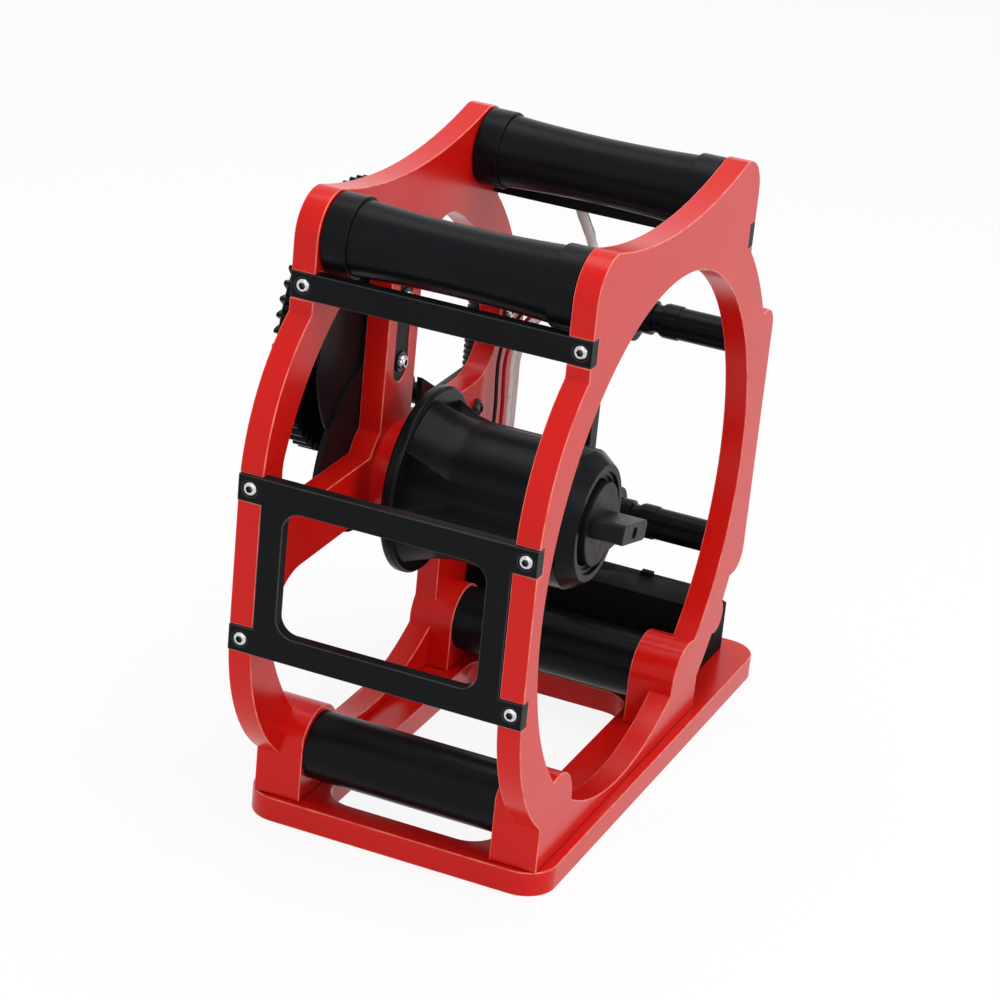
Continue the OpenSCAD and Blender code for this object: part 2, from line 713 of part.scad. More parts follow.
carriage_low = carriage_x - carriage_len / 2;
carriage_high = carriage_x + carriage_len / 2;
post_x = carriage_x - post_w / 2;
module guide_carriage() color(black) difference() {
    union() {
        for (z = [-rod_rise, rod_rise])
            bar_x(carriage_sleeve_r, carriage_low, carriage_high, rod_y, spindle_z + z);
        translate([post_x, rod_y - post_depth / 2, spindle_z - rod_rise])
            cube([post_w, post_depth, 2 * rod_rise]);
        bar_y(snout_r, eyelet_y, rod_y + post_depth / 2, carriage_x, eyelet_z);
        translate([carriage_low, rod_y - 5, spindle_z - rod_rise - carriage_sleeve_r - 4])
            cube([carriage_len, 10, carriage_sleeve_r + 4]);
    }
    for (z = [-rod_rise, rod_rise])
        bar_x(rod_d / 2 + bush_wall + seat_gap, carriage_low - over, carriage_high + over,
            rod_y, spindle_z + z);
    bar_y(eyelet_bore, eyelet_y - over, rod_y + post_depth, carriage_x, eyelet_z);
    bar_y(eyelet_r + seat_gap, eyelet_y - over, eyelet_y + eyelet_seat, carriage_x, eyelet_z);
}

module carriage_bushes() color(brass) for (z = [-rod_rise, rod_rise]) turned(rod_y, spindle_z + z)
    for (x = [carriage_low, carriage_high - bush_len])
        translate([rod_d / 2 + run_gap, x]) square([bush_wall - run_gap, bush_len]);

// Eyelet with a rounded lip, seated in the carriage's snout
module guide_eyelet() color(brass) translate([carriage_x, eyelet_y, eyelet_z]) rotate([-90, 0, 0])
    rotate_extrude() {
        translate([eyelet_bore, -lip_r]) square([eyelet_r - eyelet_bore, lip_r + eyelet_seat - seat_gap]);
        translate([eyelet_bore + lip_r, -lip_r - seat_gap]) circle(lip_r);
    }

// Spindle

module spindle_shaft() color(steel) difference() {
    bar_x(shaft_d / 2, inner_gear_x - 2.5, shaft_end);
    bar_x(stem_r + run_gap, shaft_end - stem_len - 1, shaft_end + over);
}

module spindle_bearings() color(steel) for (x = [-x_out, boss_end - bearing_w]) turned() difference() {
    translate([shaft_d / 2 + run_gap, x]) square([bearing_od / 2 - shaft_d / 2 - run_gap, bearing_w]);
    for (f = [x - over, x + bearing_w - shield_sink]) translate([shaft_d / 2 + 2, f])
        square([bearing_od / 2 - shaft_d / 2 - 4, shield_sink + over]);
}

// Hub: flange, flare and body, with four scooped grooves that open out in the flare
module spindle_hub() {
    bore = shaft_d / 2 + seat_gap;
    recess = hub_end - recess_depth;
    scoop_r = 15;
    scoop_at = hub_r - hub_groove + scoop_r;
    groove_angle = 72;
    color(black) difference() {
        turned() polygon([
            [bore, flange_back], [flange_r - 1, flange_back], [flange_r, flange_back + 1],
            [flange_r, flange_face - 1], [flange_r - 1, flange_face], [flare_r, flange_face],
            [hub_r + 1.5, flange_face + 0.6 * flare_len], [hub_r, flange_face + flare_len],
            [hub_r, hub_end - 1.4 * hub_bevel], [hub_r - hub_bevel, hub_end],
            [end_ring_r + seat_gap, hub_end], [end_ring_r + seat_gap, recess], [bore, recess]]);
        for (a = [groove_angle : 90 : groove_angle + 270])
            bar_x(scoop_r, flange_face, hub_end + over, scoop_at * cos(a), spindle_z + scoop_at * sin(a));
    }
}

module hub_end_ring() color(black) turned() {
    recess = hub_end - recess_depth;
    translate([shaft_d / 2 + seat_gap, recess]) square([end_ring_r - shaft_d / 2 - seat_gap, 2]);
    translate([knob_r + 0.6, recess]) square([end_ring_r - knob_r - 0.6, recess_depth - 2.4]);
    translate([knob_r + 2, recess]) square([end_ring_r - knob_r - 2, recess_depth - 1.2]);
}

// Knob disc with a flat-sided grip that has a hole in its end
module lock_knob() {
    grip_angle = -14;
    grip_hole_r = 2.2;
    color(grey) difference() {
        union() {
            bar_x(knob_r, knob_back, knob_face);
            bar_x(stem_r, shaft_end - stem_len, knob_back + over);
            slab(knob_face - over, knob_face + grip_len) translate([0, spindle_z]) rotate(grip_angle)
                round_rect([-grip_w / 2, -grip_t / 2], [grip_w / 2, grip_t / 2], 2);
        }
        bar_x(grip_hole_r, knob_face + 1, knob_face + grip_len + over);
    }
}

// Gears

module spindle_gear() color(black) difference() {
    union() {
        slab(inner_gear_x, shroud_x + over) translate([0, spindle_z])
            gear_outline(spindle_teeth, inner_module, 90 + 180 / spindle_teeth, 0.25);
        bar_x(shroud_r, shroud_x, shroud_x + shroud_t);
        bar_x(9, shroud_x, -x_out - 0.6);
    }
    bar_x(shaft_d / 2 + seat_gap, inner_gear_x - over, -x_out + over);
}

module spindle_clip() color(steel) difference() {
    bar_x(shaft_d / 2 + 4, inner_gear_x - seat_gap - clip_t, inner_gear_x - seat_gap);
    bar_x(shaft_d / 2 + seat_gap, inner_gear_x - clip_t - over, inner_gear_x + over);
}

gear_bush_wall = 2;
gear_bush_r = axle_d / 2 + gear_bush_wall;
module drive_gear() {
    root_r = drive_teeth * outer_module / 2 - 1.2 * outer_module;
    rim_t = 4;
    web_r = root_r - rim_t;
    web_sink = 2;
    boss = inner_teeth * inner_module / 2 + rim_t / 2;
    color(black) difference() {
        union() {
            slab(outer_gear_x, outer_gear_x + outer_face_w) translate([0, gear_z])
                gear_outline(drive_teeth, outer_module, motor_angle, 0.3);
            slab(outer_gear_x + outer_face_w - over, shroud_x - mesh_gap) translate([0, gear_z])
                gear_outline(inner_teeth, inner_module, -90, 0.25);
        }
        bar_x(gear_bush_r + seat_gap, outer_gear_x - over, shroud_x + over, 0, gear_z);
        for (x = [outer_gear_x - over, outer_gear_x + outer_face_w - web_sink]) difference() {
            bar_x(web_r, x, x + web_sink + over, 0, gear_z);
            bar_x(boss, x - over, x + web_sink + 2 * over, 0, gear_z);
        }
    }
}

module gear_bush() color(brass) difference() {
    bar_x(gear_bush_r, outer_gear_x, shroud_x - mesh_gap, 0, gear_z);
    bar_x(axle_d / 2 + run_gap, outer_gear_x - over, shroud_x, 0, gear_z);
}

axle_head_t = 1.6;
axle_head_rim = 3;
axle_float = 0.3;
module gear_axle() color(steel) {
    head_x = outer_gear_x - axle_float;
    bar_x(axle_d / 2, head_x, axle_end, 0, gear_z);
    bar_x(axle_d / 2 + axle_head_rim, head_x - axle_head_t, head_x, 0, gear_z);
}

// Plate on the arm's outer face that carries the gear axle, screwed to the block in the slot
module gear_bracket() color(black) difference() {
    slab(-x_out - bracket_foot_t, -x_out - seat_gap) translate([0, spindle_z])
        round_rect([-upright_half, slot_low], [upright_half, slot_high + 6], 5);
    bar_x(axle_d / 2 + seat_gap, -x_out - bracket_foot_t - over, -x_out + over, 0, gear_z);
    for (z = slot_screw_at)
        bar_x(screw_d / 2 + seat_gap, -x_out - bracket_foot_t - over, -x_out + over, 0, spindle_z + z);
}

module slot_block() color(black) difference() {
    slab(-x_out, -x_in - 0.5) translate([0, spindle_z])
        round_rect([-slot_w / 2 + seat_gap, slot_low + seat_gap],
            [slot_w / 2 - seat_gap, slot_high - seat_gap], slot_w / 2 - 0.1);
    bar_x(axle_d / 2 + seat_gap, -x_out - over, axle_end + seat_gap, 0, gear_z);
    for (z = slot_screw_at) bar_x(screw_d / 2 + seat_gap, -x_out - over, -x_in + over, 0, spindle_z + z);
}

// Guard in front of the gears, on the front arm's outer face: a thick lower lobe and a thinner upper one
guard_low_r = 47.5;
guard_high_r = 50;
guard_edge = upright_half + 0.5;
module gear_guard() color(black) {
    slab(-x_out - bracket_foot_t, -x_out - seat_gap) guard_part()
        translate([0, spindle_z]) circle(guard_low_r);
    slab(-x_out - bracket_foot_t, -x_out - bracket_foot_t / 2) guard_part()
        translate([0, gear_z]) circle(guard_high_r);
}
module guard_part() intersection() {
    children();
    translate([-2 * guard_high_r, spindle_z - arm_half])
        square([2 * guard_high_r - guard_edge, 4 * guard_high_r]);
}

// A screw along X with a washer, its seat facing +X
washer_t = 0.8;
module side_screw(x, y, z, len) translate([x, y, z]) rotate([0, 90, 0]) {
    translate([0, 0, washer_t]) screw(screw_d, screw_head_d, screw_head_h, len + washer_t);
    difference() {
        cylinder(d = screw_head_d + 2.4, h = washer_t);
        translate([0, 0, -over]) cylinder(d = screw_d - 0.2, h = washer_t + 2 * over);
    }
}
module slot_screws() color(steel) for (z = slot_screw_at)
    side_screw(-x_in - 0.5, 0, spindle_z + z, plate_t - 0.5 + bracket_foot_t);
module bracket_screws() color(steel) for (p = bracket_screw_at)
    side_screw(-x_in, p.x, spindle_z + p.y, plate_t + bracket_foot_t + bracket_thread);
module plate_screw() color(steel)
    side_screw(-x_in, cap_screw_at.x, spindle_z + cap_screw_at.y, plate_t + cap_lug_t);

// Motor, its pinion and its bracket: a foot on the rear arm, two posts and a face plate
motor_boss_wall = 3;
motor_boss_r = motor_shaft_d / 2 + motor_boss_wall;
motor_screw_edge = 4.5;
motor_screw_r = motor_d / 2 - motor_screw_edge;
motor_thread = 5;
motor_bevel = 1.5;
motor_rim = 1;
terminal_gap = 9;
terminal_w = 5;
terminal_t = 0.8;
motor_shaft_in = 12;
motor_screw_seat = bracket_plate_t - screw_head_h - 0.1;
post_r = 4.5;
module motor_bracket() color(black) difference() {
    union() {
        slab(-x_out - bracket_foot_t, -x_out - seat_gap) translate([0, spindle_z]) polygon([
            [bracket_foot_y, -arm_half], [bracket_screw_at[1].x + bracket_foot_end, -arm_half],
            [bracket_screw_at[1].x + bracket_foot_end, arm_half],
            [bracket_screw_at[0].x - bracket_foot_toe, arm_half],
            [bracket_foot_y, arm_half + bracket_foot_rise]]);
        for (p = bracket_screw_at)
            bar_x(post_r, bracket_plate_x, -x_out - bracket_foot_t + over / 2, p.x, spindle_z + p.y);
        slab(bracket_plate_x, bracket_plate_x + bracket_plate_t) bracket_face();
    }
    bar_x(motor_boss_r + seat_gap, bracket_plate_x - over, bracket_plate_x + bracket_plate_t + over,
        motor_y, motor_z);
    for (p = bracket_screw_at)
        bar_x(screw_d / 2 + seat_gap, -x_out - bracket_foot_t - bracket_thread - 2 * over, -x_out + over,
            p.x, spindle_z + p.y);
    for (a = [0, 180]) motor_screw_at(a) {
        translate([0, 0, -over]) cylinder(d = screw_d + 0.4, h = bracket_plate_t + 2 * over);
        translate([0, 0, motor_screw_seat]) cylinder(d = screw_head_d + 0.4, h = screw_head_h + over);
    }
}
module bracket_face() {
    low = bracket_screw_at[0] + [0, spindle_z];
    high = bracket_screw_at[1] + [0, spindle_z];
    rim = [0, post_r + 2];
    translate([motor_y, motor_z]) circle(motor_d / 2);
    for (p = [low, high]) translate(p) circle(post_r + 3);
    polygon([
        [motor_y, motor_z - motor_d / 2 + 1], low - rim, high - rim, high + rim,
        [motor_y, motor_z + motor_d / 2 - 1]]);
}
module motor_screw_at(a)
    translate([bracket_plate_x, motor_y + motor_screw_r * cos(a), motor_z + motor_screw_r * sin(a)])
        rotate([0, 90, 0]) children();

module motor_screws() color(steel) for (a = [0, 180]) motor_screw_at(a)
    translate([0, 0, motor_screw_seat])
        screw(screw_d, screw_head_d, screw_head_h, motor_screw_seat + motor_thread);

module drive_motor() color(steel) difference() {
    union() {
        turned(motor_y, motor_z) polygon([
            [0, motor_end], [motor_d / 2 - motor_bevel, motor_end], [motor_d / 2, motor_end + motor_bevel],
            [motor_d / 2, bracket_plate_x - motor_rim],
            [motor_d / 2 - motor_rim, bracket_plate_x - seat_gap],
            [motor_boss_r, bracket_plate_x - seat_gap], [motor_boss_r, bracket_plate_x + bracket_plate_t],
            [0, bracket_plate_x + bracket_plate_t]]);
        for (y = [motor_y - terminal_gap, motor_y + terminal_gap])
            translate([motor_end - terminal_len, y - terminal_t / 2, motor_z - terminal_w / 2])
                cube([terminal_len + over, terminal_t, terminal_w]);
    }
    for (a = [0, 180]) motor_screw_at(a)
        translate([0, 0, -motor_thread - over])
            cylinder(d = screw_d + 2 * seat_gap, h = motor_thread + 2 * over);
    bar_x(motor_shaft_d / 2 + run_gap, bracket_plate_x - motor_shaft_in - 1,
        bracket_plate_x + bracket_plate_t + over, motor_y, motor_z);
}

// Pinion and the motor's turning shaft, as one turning piece
module motor_pinion() color(brass) {
    slab(outer_gear_x + 0.4, outer_gear_x + outer_face_w - 0.4) translate([motor_y, motor_z])
        gear_outline(motor_teeth, outer_module, motor_angle + 180 + 180 / motor_teeth, 0.3);
    bar_x(motor_shaft_d / 2, bracket_plate_x - motor_shaft_in, outer_gear_x + outer_face_w + 1,
        motor_y, motor_z);
}

// Electronics box, a shell that stands on the base plate

box_slope = atan((box_h - box_rear_h) / (box_rear - box_front - box_top));
module box_profile(w) {
    rear_z = base_t + box_rear_h - w * (1 - sin(box_slope)) / cos(box_slope);
    top_z = base_t + box_h - w;
    top_y = box_rear - w - (top_z - rear_z) / tan(box_slope);
    polygon([
        [box_front + w, base_t], [box_front + w, top_z], [top_y, top_z], [box_rear - w, rear_z],
        [box_rear - w, base_t]]);
}
rear_panel_z = base_t + box_rear_h / 2;
speed_x = 28;
switch_x = 0;
jack_x = -28;
knob_shaft_r = 3;
switch_w = 16;
switch_h = 10;
rocker_gap = 0.5;
rocker_sink = 1.6;
rocker_tilt = 8;
rocker_r = 18;
pivot_r = 0.8;
pivot_reach = 1;
jack_r = 5;

module electronics_box() color(black) difference() {
    union() {
        difference() {
            slab(-box_half, box_half) box_profile(0);
            slab(-box_half + box_wall, box_half - box_wall) box_profile(box_wall);
            translate([-box_half + box_wall, box_front + box_wall, base_t - over])
                cube([2 * (box_half - box_wall), box_rear - box_front - 2 * box_wall, 2 * over]);
        }
        for (p = box_screw_places()) translate([p.x, p.y, base_t]) cylinder(r = box_post_r, h = box_post_h);
        translate([box_tab_x, box_front + box_top - box_tab.y, base_t + box_h - over / 2])
            cube(box_tab + [0, 0, over / 2]);
    }
    for (p = box_screw_places()) translate([p.x, p.y, base_t - over])
        cylinder(d = screw_d + 2 * seat_gap, h = 10 + over);
    bar_y(knob_shaft_r + run_gap, box_rear - box_wall - over, box_rear + over, speed_x, rear_panel_z);
    translate([switch_x - switch_w / 2, box_rear - box_wall - over, rear_panel_z - switch_h / 2])
        cube([switch_w, box_wall + 2 * over, switch_h]);
    translate([switch_x, box_rear - rocker_sink, rear_panel_z - switch_h / 2 - pivot_reach])
        cylinder(r = pivot_r + run_gap, h = switch_h + 2 * pivot_reach);
    bar_y(jack_r + seat_gap, box_rear - box_wall - over, box_rear + over, jack_x, rear_panel_z);
    bar_x(spigot_r + seat_gap, -box_half - over, -box_half + box_wall + over, rod_y, elbow_z);
    for (c = cord_ends()) translate([c.x, c.y, base_t + box_h - box_wall - over])
        cylinder(d = c.z + 0.6, h = box_wall + 2 * over);
}

// Where each cord enters the box, with its diameter
function cord_ends() = [
    [tube_route[18].x, tube_route[18].y, white_tube_d],
    [red_route[18].x, red_route[18].y, wire_d],
    [black_route[18].x, black_route[18].y, wire_d]];

module cord_grommets() color(black) difference() {
    translate([black_route[18].x - 2, tube_route[18].y - 4, base_t + box_h])
        cube([tube_route[18].x - black_route[18].x + 6, 8, grommet_h]);
    for (c = cord_ends()) translate([c.x, c.y, base_t + box_h - over])
        cylinder(d = c.z - 0.6, h = grommet_h + 2 * over);
}

module control_board() {
    front = box_front + box_wall;
    color("darkgreen") {
        translate([-box_half + 8, front + 4, base_t + 6]) cube([2 * box_half - 16, 34, 1.6]);
        for (x = [-box_half + 12, box_half - 12], y = [front + 8, front + 34])
            translate([x, y, base_t]) cylinder(r = 3, h = 6 + over / 2);
        translate([-12, front + 12, base_t + 7]) cube([14, 14, 3.6]);
        translate([16, front + 16, base_t + 7]) cylinder(r = 5, h = 14);
    }
}

module box_screws() color(steel) for (p = box_screw_places())
    translate([p.x, p.y, base_sink]) rotate([180, 0, 0])
        screw(screw_d, screw_head_d, screw_head_h, base_t - base_sink + 9);

module speed_knob() color(black) difference() {
    union() {
        bar_y(knob_shaft_r, box_rear - box_wall - 3, box_rear + 1.4, speed_x, rear_panel_z);
        translate([speed_x, box_rear + 0.4, rear_panel_z]) rotate([-90, 0, 0]) rotate_extrude()
            polygon([[0, 0], [8, 0], [8, 1.5], [7, 2.5], [6.2, 8.2], [5.4, 9], [0, 9]]);
    }
    translate([speed_x - 0.5, box_rear + 8.8, rear_panel_z + 1]) cube([1, 2, 6]);
}

// Rocker on a pivot pin that reaches into the box's wall above and below
module power_switch() color(black)
    translate([switch_x, box_rear - rocker_sink, rear_panel_z - switch_h / 2 + rocker_gap]) {
        rotate(-rocker_tilt) intersection() {
            translate([-switch_w / 2 + rocker_gap, 0, 0])
                cube([switch_w - 2 * rocker_gap, 5, switch_h - 2 * rocker_gap]);
            translate([0, 3.4 - rocker_r, -over]) cylinder(r = rocker_r, h = switch_h + 2 * over);
        }
        translate([0, 0, -rocker_gap - pivot_reach + run_gap])
            cylinder(r = pivot_r, h = switch_h + 2 * (pivot_reach - run_gap));
    }

module power_jack() color(black) difference() {
    union() {
        bar_y(jack_r, box_rear - box_wall - 8, box_rear + over / 2, jack_x, rear_panel_z);
        bar_y(jack_r + 2, box_rear + seat_gap, box_rear + 1.6, jack_x, rear_panel_z);
    }
    difference() {
        bar_y(jack_r - 1.6, box_rear - 6, box_rear + 3, jack_x, rear_panel_z);
        bar_y(1, box_rear - 7, box_rear + 3, jack_x, rear_panel_z);
    }
}

// Guide block on the rear crossbar

module tube_inlet() color(black) difference() {
    translate([inlet_x[0], bar_face + seat_gap, inlet_low]) cube([inlet_x[1] - inlet_x[0], inlet_depth, 10]);
    for (c = inlet_ends()) translate([c.x, c.y, inlet_low - over]) cylinder(d = c.z - 0.6, h = 12);
}
function inlet_ends() = [
    [tube_route[0].x, tube_route[0].y, white_tube_d],
    [red_route[0].x, red_route[0].y, wire_d],
    [black_route[0].x, black_route[0].y, wire_d]];

module filament_tube() color("white") sweep(tube_route, white_tube_d / 2);
module red_wire() color("firebrick") sweep(red_route, wire_d / 2);
module black_wire() color([0.05, 0.05, 0.05]) sweep(black_route, wire_d / 2);

// Ribbed sleeve with its bore, its top cap and its elbow into the box

module ribbed_sleeve() {
    low = sleeve_low;
    high = sleeve_top;
    plain = rib_pitch * 4;
    ribs = floor((high - low - 2 * plain) / rib_pitch);
    inner = sleeve_d / 2 - rib_h;
    color(black) translate([sleeve_x, rod_y, 0]) rotate_extrude($fn = 48) difference() {
        union() {
            translate([0, low]) square([inner, high - low]);
            for (i = [0 : ribs - 1]) translate([0, low + plain + (i + 0.25) * rib_pitch])
                polygon([
                    [inner - 0.2, 0], [inner, 0], [sleeve_d / 2, 0.15 * rib_pitch],
                    [sleeve_d / 2, 0.4 * rib_pitch], [inner, 0.55 * rib_pitch],
                    [inner - 0.2, 0.55 * rib_pitch]]);
        }
        translate([-over, low - over]) square([over + inner - 1, high - low + 2 * over]);
    }
}

module sleeve_cap() color(black) difference() {
    union() {
        translate([sleeve_x, rod_y, sleeve_top - sleeve_socket])
            cylinder(r = sleeve_holder_r - 0.4, h = sleeve_socket + 4);
        slab(-x_out - cap_lug_t, -x_out - seat_gap) translate([0, spindle_z]) {
            translate(cap_screw_at) circle(5);
            polygon([cap_screw_at + [-5, 0], cap_screw_at + [4, -3], [rod_y + 3, rod_rise],
                [rod_y + 3, rod_rise + 12], [rod_y - 4, rod_rise + 12]]);
        }
    }
    translate([sleeve_x, rod_y, sleeve_top - sleeve_socket - over])
        cylinder(r = sleeve_d / 2 - rib_h + seat_gap, h = sleeve_socket + over);
    bar_x(screw_d / 2 + seat_gap, -x_out - cap_lug_t - over, -x_out + over,
        cap_screw_at.x, spindle_z + cap_screw_at.y);
}

module sleeve_elbow() color(black) difference() {
    union() {
        translate([sleeve_x, rod_y, elbow_z])
            cylinder(r = sleeve_holder_r, h = sleeve_low + sleeve_socket - elbow_z);
        translate([sleeve_x, rod_y, elbow_z]) sphere(sleeve_holder_r);
        bar_x(spigot_r, sleeve_x, -box_half + box_wall, rod_y, elbow_z);
    }
    translate([sleeve_x, rod_y, sleeve_low])
        cylinder(r = sleeve_d / 2 - rib_h + seat_gap, h = sleeve_socket + over);
    translate([sleeve_x, rod_y, elbow_z]) cylinder(r = sleeve_d / 2 - rib_h - 1, h = sleeve_low);
    bar_x(spigot_r - spigot_wall, sleeve_x, 0, rod_y, elbow_z);
}

place() base_plate();
place() left_side_plate();
place() right_side_plate();
place() front_crossbar();
place() rear_crossbar();
place() window_panel();
place() front_tube();
place() rear_tube();
place() upper_rod();
place() lower_rod();
place() front_roller_axle();
place() rear_roller_axle();
place() front_roller();
place() rear_roller();
place() front_roller_bushes();
place() rear_roller_bushes();
place() guide_carriage();
place() carriage_bushes();
place() guide_eyelet();
place() spindle_shaft();
place() spindle_bearings();
place() spindle_hub();
place() hub_end_ring();
place() lock_knob();
place() spindle_gear();
place() spindle_clip();
place() drive_gear();
place() gear_bush();
place() gear_axle();
place() gear_bracket();
place() gear_guard();
place() slot_block();
place() slot_screws();
place() motor_bracket();
place() bracket_screws();
place() drive_motor();
place() motor_screws();
place() motor_pinion();
place() electronics_box();
place() control_board();
place() box_screws();
place() speed_knob();
place() power_switch();
place() power_jack();
place() cord_grommets();
place() tube_inlet();
place() filament_tube();
place() red_wire();
place() black_wire();
place() ribbed_sleeve();
place() sleeve_cap();
place() sleeve_elbow();
place() plate_screw();
place() crossbar_screws();
place() panel_screws();
place() base_screws();
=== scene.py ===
"""Filament spool winder: finishes, edges, cords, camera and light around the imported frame.

Metres, +Z up.
"""

import json
import math

import bmesh
import bpy
from mathutils import Matrix, Vector

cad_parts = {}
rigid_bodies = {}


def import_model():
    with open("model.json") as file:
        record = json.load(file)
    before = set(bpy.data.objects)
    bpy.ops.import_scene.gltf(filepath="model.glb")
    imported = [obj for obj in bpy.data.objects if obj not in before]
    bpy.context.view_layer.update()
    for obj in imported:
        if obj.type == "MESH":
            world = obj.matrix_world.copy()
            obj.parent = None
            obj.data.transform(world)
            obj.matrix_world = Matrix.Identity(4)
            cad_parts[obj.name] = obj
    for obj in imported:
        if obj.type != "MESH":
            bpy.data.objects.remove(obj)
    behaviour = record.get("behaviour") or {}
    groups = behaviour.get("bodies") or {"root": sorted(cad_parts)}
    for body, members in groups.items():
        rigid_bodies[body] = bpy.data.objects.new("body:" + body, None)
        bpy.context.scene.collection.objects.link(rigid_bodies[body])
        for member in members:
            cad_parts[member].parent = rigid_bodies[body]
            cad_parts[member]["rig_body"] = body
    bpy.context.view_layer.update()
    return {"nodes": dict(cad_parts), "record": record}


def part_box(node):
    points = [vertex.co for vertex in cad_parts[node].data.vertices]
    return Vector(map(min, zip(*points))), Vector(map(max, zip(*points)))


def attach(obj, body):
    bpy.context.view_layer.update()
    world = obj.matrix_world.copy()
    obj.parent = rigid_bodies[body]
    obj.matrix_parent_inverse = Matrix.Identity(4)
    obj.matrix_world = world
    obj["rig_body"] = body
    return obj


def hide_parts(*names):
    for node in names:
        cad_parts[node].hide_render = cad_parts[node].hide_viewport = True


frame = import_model()
nodes = frame["nodes"]

MM = 0.001
# Where the point midway between the side plates, below the spindle, lies in the shared frame
FRAME_MIDDLE = Vector((0.02615, -0.0185, 0))
BASE_TOP = 10 * MM

# Camera: its turn to the right of the front, its height angle and its tilt
CAMERA_AZIMUTH = math.radians(21.75)
CAMERA_ELEVATION = math.radians(23.16)
CAMERA_ROLL = math.radians(5.70)
# Its place, in millimetres from the frame's middle
CAMERA_PLACE = (432.92, -1092.41, 618.29)
CAMERA_LENS = 120.41
SENSOR_WIDTH = 36

# The middle part of a noise pattern, over which tone and gloss drift
NOISE_LOW = 0.3
NOISE_HIGH = 0.7

# Rounded edges: the angle from which an edge is sharp, and what is merged before it is rounded
SHARP_ANGLE = math.radians(32)
FLAT_ANGLE = math.radians(0.6)
EDGE_SEGMENTS = 2
MERGE_GAP = 0.001 * MM
SHORT_EDGE = 0.05 * MM
# How far up the painted seam shade reaches where a side plate stands on the base
SEAM_SHADE_HEIGHT = 1 * MM

# Button-head screws
SCREW_HEAD_R = 2.8 * MM
SOCKET_R = 1.45 * MM
SOCKET_TOP = 0.15 * MM
SOCKET_FLOOR = 1.5 * MM

# How far the motor's terminals stand out of its can
MOTOR_TERMINAL = 4 * MM
MOTOR_SIDES = 96
MOTOR_BAND_R = 18.8 * MM
MOTOR_BAND_WIDTH = 14 * MM
MOTOR_BAND_WALL = 0.85 * MM
MOTOR_BAND_EDGE = 0.25 * MM
# From the can's end to the band's inner edge
MOTOR_BAND_PLACE = 20 * MM
MOTOR_CAP_R = 14.5 * MM
MOTOR_CAP_THICKNESS = 0.8 * MM
MOTOR_CAP_EDGE = 0.2 * MM
# How deep the cap sits on the can's end
MOTOR_CAP_SEAT = 0.05 * MM
# The ring round the rear bearing: how far it stands in from the cap's rim, its height, wall and depth
MOTOR_RING_INSET = 9.5 * MM
MOTOR_RING_RISE = 1.6 * MM
MOTOR_RING_WALL = 1.5 * MM
MOTOR_RING_DEPTH = 1 * MM

TUBE_DIAMETER = 4 * MM
WIRE_DIAMETER = 1.6 * MM


def spot(x, y, z):
    """A point given in millimetres from the frame's middle, in the shared frame."""
    return FRAME_MIDDLE + Vector((x, y, z)) * MM


# Camera


def add_camera():
    forward = Vector((
        -math.sin(CAMERA_AZIMUTH) * math.cos(CAMERA_ELEVATION),
        math.cos(CAMERA_AZIMUTH) * math.cos(CAMERA_ELEVATION),
        -math.sin(CAMERA_ELEVATION)))
    level = Vector((math.cos(CAMERA_AZIMUTH), math.sin(CAMERA_AZIMUTH), 0))
    upright = level.cross(forward)
    right = math.cos(CAMERA_ROLL) * level + math.sin(CAMERA_ROLL) * upright
    up = math.cos(CAMERA_ROLL) * upright - math.sin(CAMERA_ROLL) * level
    data = bpy.data.cameras.new("camera")
    data.sensor_width = SENSOR_WIDTH
    data.lens = CAMERA_LENS
    data.clip_end = 50
    camera = bpy.data.objects.new("camera", data)
    bpy.context.scene.collection.objects.link(camera)
    turn = Matrix((right, up, -forward)).transposed()
    camera.matrix_world = Matrix.Translation(spot(*CAMERA_PLACE)) @ turn.to_4x4()
    bpy.context.scene.camera = camera


# Materials: each has its own colour drift, gloss drift and relief, on Object coordinates


def start_material(name, colour, roughness, specular):
    material = bpy.data.materials.new(name)
    material.use_nodes = True
    shader = material.node_tree.nodes["Principled BSDF"]
    shader.inputs["Base Color"].default_value = (*colour, 1)
    shader.inputs["Roughness"].default_value = roughness
    shader.inputs["Specular IOR Level"].default_value = specular
    return material


def object_place(material, stretch=(1, 1, 1)):
    """Object coordinates, stretched along each axis."""
    tree = material.node_tree
    place = tree.nodes.new("ShaderNodeTexCoord")
    mapping = tree.nodes.new("ShaderNodeMapping")
    mapping.inputs["Scale"].default_value = stretch
    tree.links.new(place.outputs["Object"], mapping.inputs["Vector"])
    return mapping.outputs["Vector"]


def add_noise(material, place, scale, detail=3):
    tree = material.node_tree
    noise = tree.nodes.new("ShaderNodeTexNoise")
    noise.inputs["Scale"].default_value = scale
    noise.inputs["Detail"].default_value = detail
    tree.links.new(place, noise.inputs["Vector"])
    return noise.outputs["Fac"]


def drift_roughness(material, fac, low, high):
    tree = material.node_tree
    span = tree.nodes.new("ShaderNodeMapRange")
    span.inputs["From Min"].default_value = NOISE_LOW
    span.inputs["From Max"].default_value = NOISE_HIGH
    span.inputs["To Min"].default_value = low
    span.inputs["To Max"].default_value = high
    tree.links.new(fac, span.inputs["Value"])
    tree.links.new(span.outputs["Result"], tree.nodes["Principled BSDF"].inputs["Roughness"])


def drift_colour(material, fac, dark, light):
    tree = material.node_tree
    ramp = tree.nodes.new("ShaderNodeValToRGB")
    ramp.color_ramp.elements[0].position = NOISE_LOW
    ramp.color_ramp.elements[0].color = (*dark, 1)
    ramp.color_ramp.elements[1].position = NOISE_HIGH
    ramp.color_ramp.elements[1].color = (*light, 1)
    tree.links.new(fac, ramp.inputs["Fac"])
    tree.links.new(ramp.outputs["Color"], tree.nodes["Principled BSDF"].inputs["Base Color"])


